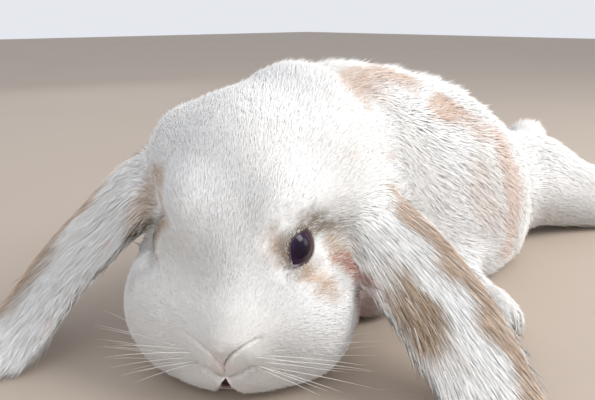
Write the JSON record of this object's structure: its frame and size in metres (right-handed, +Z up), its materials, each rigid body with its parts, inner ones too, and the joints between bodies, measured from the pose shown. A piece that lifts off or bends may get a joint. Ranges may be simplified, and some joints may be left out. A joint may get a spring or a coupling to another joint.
{
  "type": "lop rabbit",
  "caption": "Still, life-size young lop rabbit, white with fawn patches, lying flat with its chin on the floor, ears hanging and hind legs stretched out.",
  "frame": {"origin": "middle of the bounding box, at the floor it lies on", "axes": "+Y from head to hind feet along the trunk, +X to the animal's left, +Z up"},
  "size_m": [0.2062, 0.4654, 0.122],
  "materials": {
    "coat_white": "soft white fur",
    "coat_fawn_white": "soft white fur with fawn patches",
    "eye": "wet gloss",
    "bare_skin": "matte pink skin of the nose and inner ears",
    "claw": "semi-gloss horn"
  },
  "bodies": {
    "root": {"head": "coat_white", "neck": "coat_white", "trunk": "coat_fawn_white", "tail": "coat_white", "ear_left": "coat_fawn_white", "ear_right": "coat_fawn_white", "foreleg_left": "coat_white", "forefoot_left": "coat_white", "foreleg_right": "coat_white", "forefoot_right": "coat_white", "hindleg_left": "coat_white", "hindfoot_left": "coat_white", "hindleg_right": "coat_white", "hindfoot_right": "coat_white", "eye_left": "eye", "eye_right": "eye"}
  },
  "joints": []
}
